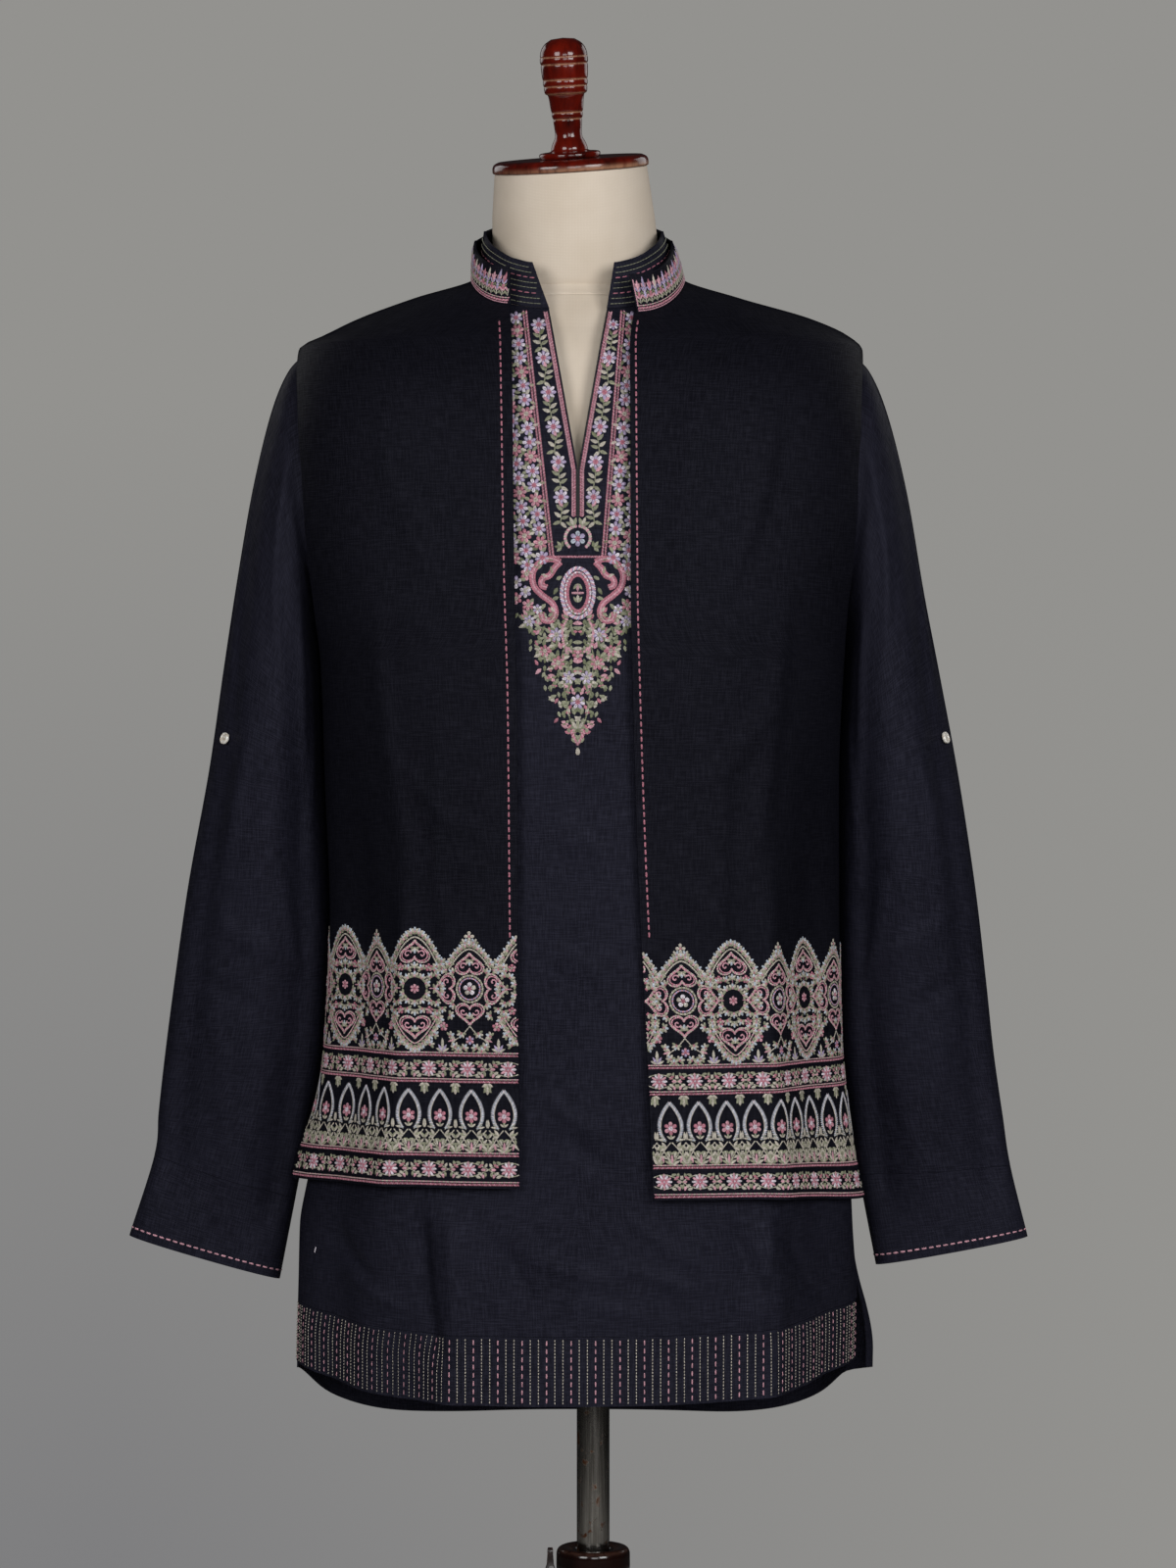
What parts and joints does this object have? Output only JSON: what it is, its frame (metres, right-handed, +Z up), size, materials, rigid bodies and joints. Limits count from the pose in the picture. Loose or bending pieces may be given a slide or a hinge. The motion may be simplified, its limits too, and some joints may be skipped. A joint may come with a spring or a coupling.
{
  "type": "waistcoat and kurta set on dress form",
  "caption": "Short dark kurta with wide open sleeves under an open sleeveless waistcoat with embroidered borders, on a limbless dress form with a round stand.",
  "frame": {"origin": "on the floor under the middle of the pole, at the centre of the round base's underside", "axes": "+Z up along the pole, -Y towards the wearer's front, +X towards the viewer's right when the front is seen"},
  "size_m": [0.704, 0.38, 1.6765],
  "materials": {
    "kurta_linen": "matte",
    "waistcoat_linen": "matte",
    "form_canvas": "matte",
    "lacquered_wood": "gloss",
    "pole_steel": "satin",
    "enamelled_iron": "satin",
    "pearl_button": "gloss"
  },
  "bodies": {
    "stand": {"stand_base": "enamelled_iron", "stand_column": "lacquered_wood"},
    "lever": {"stand_lever": "enamelled_iron"},
    "pole": {"stand_pole": "pole_steel"},
    "form": {"kurta_front": "kurta_linen", "kurta_hem_band": "kurta_linen", "kurta_back": "kurta_linen", "kurta_collar": "kurta_linen", "kurta_sleeve_left": "kurta_linen", "kurta_cuff_left": "kurta_linen", "button_left": "pearl_button", "kurta_sleeve_right": "kurta_linen", "kurta_cuff_right": "kurta_linen", "button_right": "pearl_button", "waistcoat_front_left": "waistcoat_linen", "waistcoat_front_right": "waistcoat_linen", "waistcoat_back": "waistcoat_linen", "waistcoat_collar": "waistcoat_linen", "form_torso": "form_canvas", "form_neck_cap": "lacquered_wood", "form_finial": "lacquered_wood"}
  },
  "joints": [
    {"name": "lever_turn", "type": "hinge", "parent": "stand", "child": "lever", "pos_m": [-0.034, 0, 0.484], "axis": [1, 0, 0], "range_deg": [-90, 90]},
    {"name": "pole_height", "type": "slide", "parent": "stand", "child": "pole", "axis": [0, 0, 1], "range_m": [-0.2, 0.15]},
    {"name": "form_swivel", "type": "hinge", "parent": "pole", "child": "form", "pos_m": [0, 0, 0.9], "axis": [0, 0, 1], "continuous": true}
  ]
}
